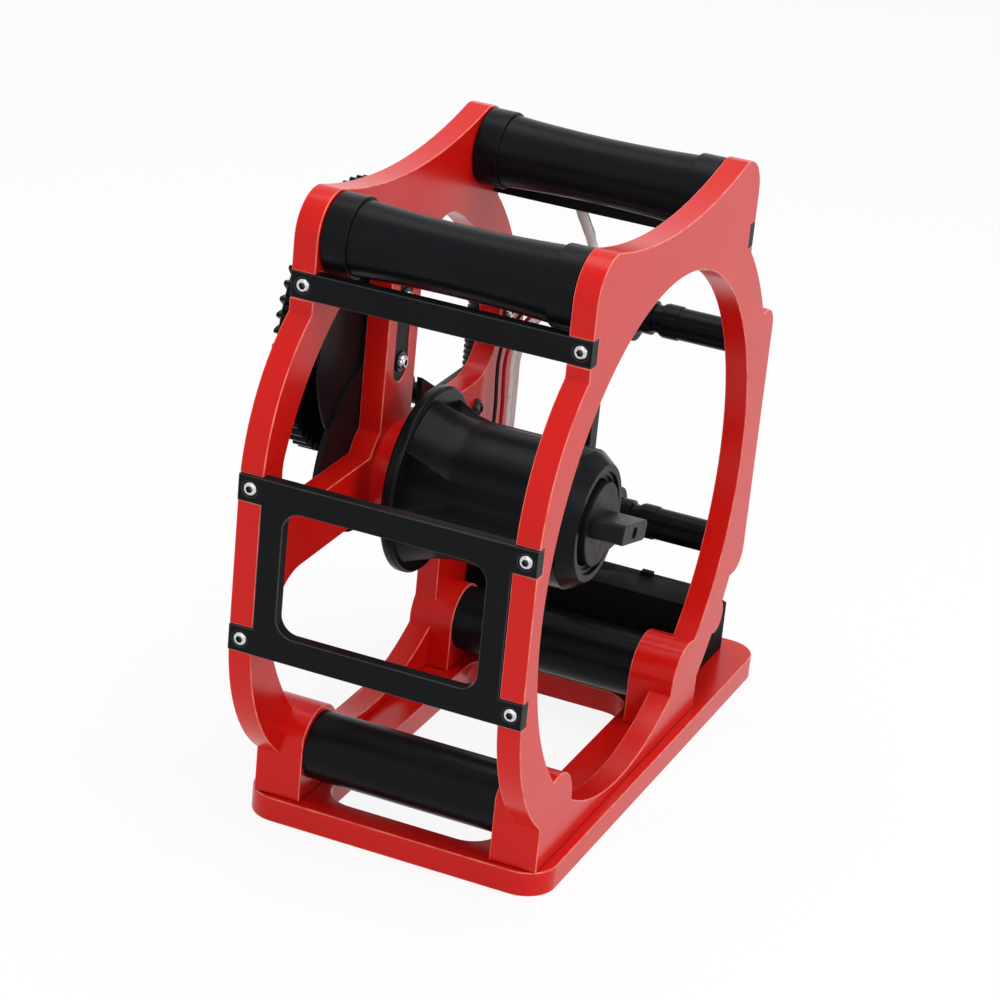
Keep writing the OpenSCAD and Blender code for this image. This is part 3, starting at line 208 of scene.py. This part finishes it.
def add_relief(material, fac, depth, strength):
    tree = material.node_tree
    bump = tree.nodes.new("ShaderNodeBump")
    bump.inputs["Strength"].default_value = strength
    bump.inputs["Distance"].default_value = depth
    tree.links.new(fac, bump.inputs["Height"])
    tree.links.new(bump.outputs["Normal"], tree.nodes["Principled BSDF"].inputs["Normal"])


def make_red_gloss():
    """Glossy red moulding: faint drift of tone, and the slight waviness of a sprayed surface."""
    material = start_material("red_gloss", (0.60, 0.0075, 0.0048), 0.22, 0.2)
    place = object_place(material)
    tone = add_noise(material, place, 14)
    drift_colour(material, tone, (0.58, 0.007, 0.0045), (0.62, 0.008, 0.0052))
    drift_roughness(material, add_noise(material, place, 60), 0.20, 0.25)
    add_relief(material, add_noise(material, place, 260, 1), 0.00003, 0.15)
    return material


def make_black_satin():
    """Black moulding with a fine even grain."""
    material = start_material("black_satin", (0.006, 0.0063, 0.0072), 0.38, 0.07)
    place = object_place(material)
    tone = add_noise(material, place, 60)
    drift_colour(material, tone, (0.0052, 0.0055, 0.0063), (0.0068, 0.0072, 0.0082))
    drift_roughness(material, add_noise(material, place, 120), 0.35, 0.42)
    add_relief(material, add_noise(material, place, 2600, 2), 0.00002, 0.35)
    return material


def make_black_turned():
    """Semi-gloss black with very faint rings round the X axis, as on a turned roller."""
    material = start_material("black_turned", (0.0042, 0.0048, 0.0062), 0.3, 0.085)
    place = object_place(material)
    rings = object_place(material, (1, 0.02, 0.02))
    tone = add_noise(material, place, 45)
    drift_colour(material, tone, (0.0037, 0.0042, 0.0054), (0.0048, 0.0055, 0.007))
    drift_roughness(material, add_noise(material, place, 70), 0.26, 0.33)
    add_relief(material, add_noise(material, rings, 2400, 1), 0.000005, 0.15)
    return material


def make_black_matt():
    """Black box moulding, duller than the satin pieces."""
    material = start_material("black_matt", (0.0055, 0.0055, 0.006), 0.6, 0.04)
    place = object_place(material)
    tone = add_noise(material, place, 60)
    drift_colour(material, tone, (0.0048, 0.0048, 0.0053), (0.0062, 0.0062, 0.0068))
    drift_roughness(material, add_noise(material, place, 150), 0.54, 0.66)
    add_relief(material, add_noise(material, place, 2200, 2), 0.00003, 0.4)
    return material


def make_painted_edge_highlight(name, dark, light, roughness):
    """Painted highlight for the broken edges of a moulding: a base colour lighter than its faces, in
    uneven patches, that stands for the light the edges catch.
    """
    material = start_material(name, light, roughness, 0.3)
    place = object_place(material)
    tone = add_noise(material, place, 180)
    drift_colour(material, tone, dark, light)
    drift_roughness(material, add_noise(material, place, 300), roughness - 0.05, roughness + 0.08)
    add_relief(material, add_noise(material, place, 900, 2), 0.00002, 0.2)
    return material


def make_painted_seam_shade():
    """Painted shade: a dark red that stands for the shadow in the groove where a red plate stands on the
    base.
    """
    material = start_material("painted_seam_shade", (0.05, 0.0015, 0.001), 0.5, 0.05)
    place = object_place(material)
    tone = add_noise(material, place, 200)
    drift_colour(material, tone, (0.04, 0.001, 0.001), (0.06, 0.002, 0.0015))
    drift_roughness(material, add_noise(material, place, 300), 0.45, 0.55)
    return material


def make_grey_moulded():
    """Dark grey moulding, a little lighter and glossier than the black ones."""
    material = start_material("grey_moulded", (0.0088, 0.0094, 0.0106), 0.36, 0.12)
    place = object_place(material)
    tone = add_noise(material, place, 80)
    drift_colour(material, tone, (0.0078, 0.0084, 0.0096), (0.0098, 0.0104, 0.0116))
    drift_roughness(material, add_noise(material, place, 240), 0.34, 0.46)
    add_relief(material, add_noise(material, place, 2400, 2), 0.00003, 0.5)
    return material


def make_metal(name, colour, low, high, stretch):
    """Plated or turned metal whose gloss drifts along the stretched direction."""
    material = start_material(name, colour, low, 0.5)
    material.node_tree.nodes["Principled BSDF"].inputs["Metallic"].default_value = 1
    grain = object_place(material, stretch)
    drift_roughness(material, add_noise(material, grain, 1200, 4), low, high)
    tone = add_noise(material, object_place(material), 160)
    drift_colour(material, tone, [0.93 * c for c in colour], [min(1, 1.05 * c) for c in colour])
    add_relief(material, add_noise(material, grain, 2200, 2), 0.00001, 0.3)
    return material


def make_rubber():
    """Dull black rubber with a rough skin."""
    material = start_material("rubber", (0.012, 0.012, 0.013), 0.6, 0.3)
    place = object_place(material)
    tone = add_noise(material, place, 120)
    drift_colour(material, tone, (0.01, 0.01, 0.011), (0.016, 0.016, 0.017))
    drift_roughness(material, add_noise(material, place, 500), 0.52, 0.68)
    add_relief(material, add_noise(material, place, 3000, 2), 0.00004, 0.6)
    return material


def make_insulation(name, dark, light, roughness, see_through=0.0):
    """Cord covering: smooth plastic, with faint drawing marks along the run."""
    material = start_material(name, light, roughness, 0.45)
    shader = material.node_tree.nodes["Principled BSDF"]
    shader.inputs["Transmission Weight"].default_value = see_through
    shader.inputs["IOR"].default_value = 1.35
    along = object_place(material, (1, 1, 0.1))
    tone = add_noise(material, along, 500)
    drift_colour(material, tone, dark, light)
    drift_roughness(material, add_noise(material, along, 900), roughness - 0.05, roughness + 0.07)
    add_relief(material, add_noise(material, along, 1800, 2), 0.00002, 0.4)
    return material


def make_board_green():
    """Green board with lighter traces in a grid."""
    material = start_material("board_green", (0.01, 0.09, 0.03), 0.3, 0.5)
    tree = material.node_tree
    bricks = tree.nodes.new("ShaderNodeTexBrick")
    bricks.inputs["Scale"].default_value = 260
    bricks.inputs["Color1"].default_value = (0.008, 0.075, 0.025, 1)
    bricks.inputs["Color2"].default_value = (0.01, 0.09, 0.03, 1)
    bricks.inputs["Mortar"].default_value = (0.03, 0.16, 0.06, 1)
    tree.links.new(object_place(material), bricks.inputs["Vector"])
    shader = tree.nodes["Principled BSDF"]
    tree.links.new(bricks.outputs["Color"], shader.inputs["Base Color"])
    add_relief(material, bricks.outputs["Fac"], 0.00005, 0.4)
    return material


finishes = {
    "red_gloss": make_red_gloss(),
    "black_satin": make_black_satin(),
    "black_moulded": make_black_turned(),
    "grey_moulded": make_grey_moulded(),
    "steel": make_metal("steel", (0.62, 0.63, 0.65), 0.22, 0.34, (1, 1, 1)),
    "dark_steel": make_metal("dark_steel", (0.06, 0.06, 0.066), 0.3, 0.42, (1, 1, 1)),
    "motor_can": make_metal("motor_can", (0.5, 0.5, 0.52), 0.28, 0.42, (0.05, 1, 1)),
    "brass": make_metal("brass", (0.72, 0.53, 0.24), 0.24, 0.38, (1, 0.1, 0.1)),
    "board_green": make_board_green(),
    "rubber": make_rubber(),
    "white_tube": make_insulation("white_tube", (0.78, 0.78, 0.77), (0.86, 0.86, 0.85), 0.3, 0.5),
    "red_wire": make_insulation("red_wire", (0.36, 0.008, 0.008), (0.44, 0.012, 0.012), 0.36),
    "black_wire": make_insulation("black_wire", (0.008, 0.008, 0.009), (0.013, 0.013, 0.014), 0.4),
}
black_matt = make_black_matt()
painted_seam_shade = make_painted_seam_shade()
# Painted highlights: edge colours lighter than the faces, standing for the light that the edges of the
# red and black pieces catch
red_edge_highlight = make_painted_edge_highlight("red_edge_highlight", (0.70, 0.07, 0.05), (0.90, 0.22, 0.16), 0.2)
black_edge_highlight = make_painted_edge_highlight("black_edge_highlight", (0.016, 0.0165, 0.018), (0.025, 0.026, 0.028), 0.3)
# The flat pieces whose edges get a painted highlight, lighter than their faces
edge_highlights = {
    "base_plate": red_edge_highlight, "left_side_plate": red_edge_highlight, "right_side_plate": red_edge_highlight,
    "front_crossbar": black_edge_highlight, "rear_crossbar": black_edge_highlight, "window_panel": black_edge_highlight}
node_slots = {p["node"]: p["material_slot"] for p in frame["record"]["subparts"]}


# Rounded edges: each node's copy stands for it, with a small radius along its sharp edges


def mark_outer_edges(data, shortest):
    """Marks the sharp outer edges that are long enough to take a radius."""
    mesh = bmesh.new()
    mesh.from_mesh(data)
    weight = mesh.edges.layers.float.new("bevel_weight_edge")
    for edge in mesh.edges:
        sharp = edge.is_manifold and edge.is_convex and edge.calc_face_angle() > SHARP_ANGLE
        edge[weight] = 1 if sharp and edge.calc_length() > shortest else 0
    mesh.to_mesh(data)
    mesh.free()


def add_edged_copy(node, radius):
    """A merged copy of a node with its sharp edges rounded, which stands for the node."""
    source = nodes[node]
    piece = bpy.data.objects.new(node + "_edged", source.data.copy())
    bpy.context.scene.collection.objects.link(piece)
    bpy.ops.object.select_all(action="DESELECT")
    piece.select_set(True)
    bpy.context.view_layer.objects.active = piece
    bpy.ops.mesh.customdata_custom_splitnormals_clear()
    bpy.ops.object.mode_set(mode="EDIT")
    bpy.ops.mesh.select_all(action="SELECT")
    bpy.ops.mesh.remove_doubles(threshold=MERGE_GAP)
    bpy.ops.mesh.dissolve_limited(angle_limit=FLAT_ANGLE)
    edge_highlighted = node in edge_highlights
    if edge_highlighted:
        bpy.ops.mesh.select_all(action="SELECT")
        bpy.ops.mesh.dissolve_degenerate(threshold=SHORT_EDGE)
    bpy.ops.object.mode_set(mode="OBJECT")
    slot = node_slots[node]
    piece.data.materials.clear()
    piece.data.materials.append(finishes[slot])
    bevel = piece.modifiers.new("edge", "BEVEL")
    # The bevel's faces take the painted edge highlight colour
    if edge_highlighted:
        piece.data.materials.append(edge_highlights[node])
        bevel.material = 1
        bevel.use_clamp_overlap = False
    bevel.width = radius
    bevel.segments = EDGE_SEGMENTS
    mark_outer_edges(piece.data, 0 if edge_highlighted else radius / 2)
    bevel.limit_method = "WEIGHT"
    bpy.ops.object.modifier_apply(modifier=bevel.name)
    bpy.ops.object.shade_smooth_by_angle(angle=SHARP_ANGLE)
    weighted = piece.modifiers.new("shading", "WEIGHTED_NORMAL")
    weighted.keep_sharp = True
    bpy.ops.object.modifier_apply(modifier=weighted.name)
    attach(piece, source["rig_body"])
    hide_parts(node)
    return piece


def separate_screws(mesh):
    """The vertices of a mesh, as one set for each screw."""
    screws = []
    left = set(mesh.verts)
    while left:
        screw = {left.pop()}
        front = list(screw)
        while front:
            near = {e.other_vert(v) for v in front for e in v.link_edges} - screw
            screw |= near
            front = list(near)
        left -= screw
        screws.append(screw)
    return screws


def darken_screws(piece, axis):
    """Gives each screw's hexagon socket the dark steel finish, as painted shade inside the recess, and
    the washer round its head the dark steel finish too.
    """
    across = [k for k in range(3) if k != axis]

    def off_axis(point, middle):
        return math.dist([point[k] for k in across], middle)

    piece.data.materials.append(finishes["dark_steel"])
    mesh = bmesh.new()
    mesh.from_mesh(piece.data)
    for screw in separate_screws(mesh):
        middle = [(min(v.co[k] for v in screw) + max(v.co[k] for v in screw)) / 2 for k in across]
        ends = (min(v.co[axis] for v in screw), max(v.co[axis] for v in screw))
        rim = [v.co[axis] for v in screw if off_axis(v.co, middle) > 0.9 * SCREW_HEAD_R]
        if not rim:
            continue
        head_end = min(ends, key=lambda end: abs(end - sum(rim) / len(rim)))
        for face in {f for v in screw for f in v.link_faces}:
            centre = face.calc_center_median()
            depth = abs(centre[axis] - head_end)
            # A socket face takes the dark steel finish as painted shade inside the recess
            in_socket = off_axis(centre, middle) < SOCKET_R and SOCKET_TOP < depth < SOCKET_FLOOR
            reach = max(off_axis(v.co, middle) for v in face.verts)
            if in_socket or reach > 1.05 * SCREW_HEAD_R:
                face.material_index = 1
    mesh.to_mesh(piece.data)
    mesh.free()


def shade_foot_seam(piece):
    """Paints shade on the broken edge on which a side plate stands: its downward faces near the base take
    the dark seam colour, for the shadow in the groove.
    """
    piece.data.materials.append(painted_seam_shade)
    for face in piece.data.polygons:
        low = face.center.z < BASE_TOP + SEAM_SHADE_HEIGHT
        if face.material_index == 1 and low and face.normal.z < -0.2:
            face.material_index = 2


def dress_nodes():
    """Copies with rounded edges, by radius in millimetres, and a finish for every other node."""
    edge_radius = {
        "base_plate": 0.45, "left_side_plate": 0.4, "right_side_plate": 0.4, "front_crossbar": 0.4,
        "rear_crossbar": 0.4, "window_panel": 0.4, "gear_guard": 0.3, "front_tube": 0.3, "rear_tube": 0.3,
        "upper_rod": 0.3, "lower_rod": 0.3, "front_roller": 0.5, "rear_roller": 0.5,
        "guide_carriage": 0.4, "spindle_hub": 0.5, "hub_end_ring": 0.3, "lock_knob": 0.5,
        "spindle_gear": 0.12, "drive_gear": 0.15, "gear_bracket": 0.3, "motor_bracket": 0.3,
        "drive_motor": 0.2, "electronics_box": 0.5, "speed_knob": 0.25, "power_switch": 0.2,
        "power_jack": 0.2, "cord_grommets": 0.3, "tube_inlet": 0.4, "sleeve_cap": 0.2,
        "sleeve_elbow": 0.3, "crossbar_screws": 0.12, "panel_screws": 0.12, "slot_screws": 0.1,
        "bracket_screws": 0.1, "plate_screw": 0.1, "slot_block": 0.2, "gear_axle": 0.2}
    # The axis along which each of these nodes' screws lie, X 0 or Y 1
    screw_axis = {"crossbar_screws": 1, "panel_screws": 1, "slot_screws": 0, "plate_screw": 0}
    for node, radius in edge_radius.items():
        piece = add_edged_copy(node, radius * MM)
        if node in screw_axis:
            darken_screws(piece, screw_axis[node])
        if node in ("left_side_plate", "right_side_plate"):
            shade_foot_seam(piece)
        if node == "electronics_box":
            piece.data.materials[0] = black_matt
    for name, node in nodes.items():
        if name not in edge_radius:
            node.data.materials.clear()
            node.data.materials.append(finishes[node_slots[name]])


# The motor's steel band and end cap


def finish_motor_piece(piece, edge, slot):
    bevel = piece.modifiers.new("edge", "BEVEL")
    bevel.width = edge
    bevel.segments = EDGE_SEGMENTS
    bevel.limit_method = "ANGLE"
    bpy.ops.object.modifier_apply(modifier=bevel.name)
    bpy.ops.object.shade_smooth_by_angle(angle=SHARP_ANGLE)
    piece.data.materials.append(finishes[slot])
    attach(piece, "frame")


def add_motor_cylinder(name, radius, depth, x, ends):
    """A cylinder round the motor's axis, from x towards the outside."""
    low, high = (Vector(corner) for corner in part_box("drive_motor"))
    middle = (low + high) / 2
    bpy.ops.object.select_all(action="DESELECT")
    bpy.ops.mesh.primitive_cylinder_add(
        vertices=MOTOR_SIDES, radius=radius, depth=depth, end_fill_type=ends,
        location=(x - depth / 2, middle.y, middle.z), rotation=(0, math.radians(90), 0))
    piece = bpy.context.object
    piece.name = name
    bpy.ops.object.transform_apply(location=True, rotation=True, scale=True)
    return piece


def add_motor_band(can_end):
    band = add_motor_cylinder(
        "motor_band", MOTOR_BAND_R, MOTOR_BAND_WIDTH, can_end + MOTOR_BAND_PLACE, "NOTHING")
    wall = band.modifiers.new("wall", "SOLIDIFY")
    wall.thickness = MOTOR_BAND_WALL
    wall.offset = -1
    bpy.ops.object.modifier_apply(modifier=wall.name)
    finish_motor_piece(band, MOTOR_BAND_EDGE, "steel")


def add_motor_cap(can_end):
    """A thin disc on the can's end, with a raised ring round the rear bearing."""
    cap = add_motor_cylinder(
        "motor_cap", MOTOR_CAP_R, MOTOR_CAP_THICKNESS, can_end + MOTOR_CAP_SEAT, "NGON")
    bpy.ops.object.mode_set(mode="EDIT")
    bpy.ops.mesh.select_mode(type="FACE")
    bpy.ops.mesh.select_all(action="DESELECT")
    bpy.ops.object.mode_set(mode="OBJECT")
    for face in cap.data.polygons:
        face.select = face.normal.x < -0.9
    bpy.ops.object.mode_set(mode="EDIT")
    bpy.ops.mesh.inset(thickness=MOTOR_RING_INSET)
    bpy.ops.mesh.extrude_region_move(TRANSFORM_OT_translate={"value": (-MOTOR_RING_RISE, 0, 0)})
    bpy.ops.mesh.inset(thickness=MOTOR_RING_WALL)
    bpy.ops.mesh.extrude_region_move(TRANSFORM_OT_translate={"value": (MOTOR_RING_DEPTH, 0, 0)})
    bpy.ops.object.mode_set(mode="OBJECT")
    finish_motor_piece(cap, MOTOR_CAP_EDGE, "black_satin")


# Cords, each on the route that its solid follows


def add_cord(node, route, diameter):
    """A smooth round cord along a route, which stands for its node."""
    curve = bpy.data.curves.new(node + "_line", "CURVE")
    curve.dimensions = "3D"
    curve.resolution_u = 8
    curve.bevel_depth = diameter / 2
    curve.bevel_resolution = 5
    curve.use_fill_caps = True
    line = curve.splines.new("BEZIER")
    line.bezier_points.add(len(route) - 1)
    for point, place in zip(line.bezier_points, route):
        point.co = spot(*place)
        point.handle_left_type = "AUTO"
        point.handle_right_type = "AUTO"
    piece = bpy.data.objects.new(node + "_cord", curve)
    bpy.context.scene.collection.objects.link(piece)
    slot = node_slots[node]
    curve.materials.append(finishes[slot])
    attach(piece, "frame")
    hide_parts(node)


tube_route = [
    (-17, 88, 212), (-16, 88, 206), (-13, 88, 200), (-10, 88, 194), (-8, 88, 187), (-9, 88, 180),
    (-13, 88, 173), (-19, 89, 167), (-26, 90, 161), (-32, 90, 154), (-36, 90, 146), (-38, 90, 137),
    (-38, 90, 127), (-38, 90, 116), (-38, 90, 104), (-38, 90, 90), (-38, 90, 76), (-38, 90, 64),
    (-38, 90, 54.5)]
red_route = [
    (-19, 90.7, 212), (-18, 90.7, 206), (-15, 90.7, 200), (-12, 90.7, 194), (-11, 90.5, 187),
    (-13, 90, 179), (-20.5, 87.5, 171), (-25.5, 86, 165), (-31, 87, 159), (-36, 87, 152),
    (-40, 88, 144), (-42, 89, 136), (-42.5, 90, 127), (-42, 90, 116), (-42, 90, 104), (-42, 90, 90),
    (-42, 90, 76), (-42, 90, 64), (-42, 90, 54.5)]
black_route = [
    (-17.2, 92, 212), (-16.2, 92, 206), (-13.4, 92.2, 200), (-11, 92.8, 194), (-11, 93, 187),
    (-16.5, 92, 179), (-23.5, 88.5, 172), (-29, 86.5, 167), (-34, 87, 161), (-39, 87, 153),
    (-43, 88, 145), (-45, 89, 136), (-45.5, 90, 127), (-45, 90, 116), (-45, 90, 104), (-45, 90, 90),
    (-45, 90, 76), (-45, 90, 64), (-45, 90, 54.5)]


# Floor, world and lamps


def shown_background(tree):
    """1 for the rays that see the background white: camera, glossy and transmission rays."""
    path = tree.nodes.new("ShaderNodeLightPath")
    first = tree.nodes.new("ShaderNodeMath")
    first.operation = "MAXIMUM"
    second = tree.nodes.new("ShaderNodeMath")
    second.operation = "MAXIMUM"
    tree.links.new(path.outputs["Is Camera Ray"], first.inputs[0])
    tree.links.new(path.outputs["Is Glossy Ray"], first.inputs[1])
    tree.links.new(first.outputs["Value"], second.inputs[0])
    tree.links.new(path.outputs["Is Transmission Ray"], second.inputs[1])
    return second.outputs["Value"]


def add_world(ambient):
    """White to the rays that see the background, and a plain level of light to all others."""
    world = bpy.data.worlds.new("studio")
    bpy.context.scene.world = world
    world.use_nodes = True
    tree = world.node_tree
    background = tree.nodes["Background"]
    background.inputs["Color"].default_value = (1, 1, 1, 1)
    strength = tree.nodes.new("ShaderNodeMapRange")
    strength.inputs["To Min"].default_value = ambient
    strength.inputs["To Max"].default_value = 1
    tree.links.new(shown_background(tree), strength.inputs["Value"])
    tree.links.new(strength.outputs["Result"], background.inputs["Strength"])


def add_floor(shadow_share):
    """A white floor that keeps a share of the object's shadow."""
    bpy.ops.object.select_all(action="DESELECT")
    bpy.ops.mesh.primitive_plane_add(size=16, location=(0, 0, 0))
    floor = bpy.context.object
    floor.name = "floor"
    material = bpy.data.materials.new("floor_white")
    material.use_nodes = True
    tree = material.node_tree
    shader = tree.nodes["Principled BSDF"]
    shader.inputs["Base Color"].default_value = (0.92, 0.92, 0.92, 1)
    shader.inputs["Roughness"].default_value = 1
    shader.inputs["Specular IOR Level"].default_value = 0
    white = tree.nodes.new("ShaderNodeEmission")
    white.inputs["Strength"].default_value = 1
    share = tree.nodes.new("ShaderNodeMath")
    share.operation = "MULTIPLY"
    share.inputs[1].default_value = 1 - shadow_share
    mix = tree.nodes.new("ShaderNodeMixShader")
    tree.links.new(shown_background(tree), share.inputs[0])
    tree.links.new(share.outputs["Value"], mix.inputs["Fac"])
    tree.links.new(shader.outputs["BSDF"], mix.inputs[1])
    tree.links.new(white.outputs["Emission"], mix.inputs[2])
    tree.links.new(mix.outputs["Shader"], tree.nodes["Material Output"].inputs["Surface"])
    floor.data.materials.append(material)


def add_softbox(name, place, target, size, watts):
    data = bpy.data.lights.new(name, "AREA")
    data.shape = "RECTANGLE"
    data.size, data.size_y = size
    data.energy = watts
    lamp = bpy.data.objects.new(name, data)
    bpy.context.scene.collection.objects.link(lamp)
    lamp.location = place
    lamp.rotation_euler = (Vector(target) - Vector(place)).to_track_quat("-Z", "Y").to_euler()


add_camera()
add_cord("filament_tube", tube_route, TUBE_DIAMETER)
add_cord("red_wire", red_route, WIRE_DIAMETER)
add_cord("black_wire", black_route, WIRE_DIAMETER)
dress_nodes()
motor_can_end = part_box("drive_motor")[0][0] + MOTOR_TERMINAL
add_motor_band(motor_can_end)
add_motor_cap(motor_can_end)
add_world(ambient=0.5)
add_floor(shadow_share=0.12)
object_middle = (0, 0, 0.12)
add_softbox("overhead_softbox", (0.1, 0.1, 1.3), object_middle, size=(1.2, 0.9), watts=9)
add_softbox("front_softbox", (0.3, -1.5, 0.9), object_middle, size=(1.0, 0.8), watts=6)
add_softbox("right_softbox", (1.4, -0.2, 0.8), object_middle, size=(0.9, 0.9), watts=6)
bpy.context.scene.view_settings.view_transform = "Standard"
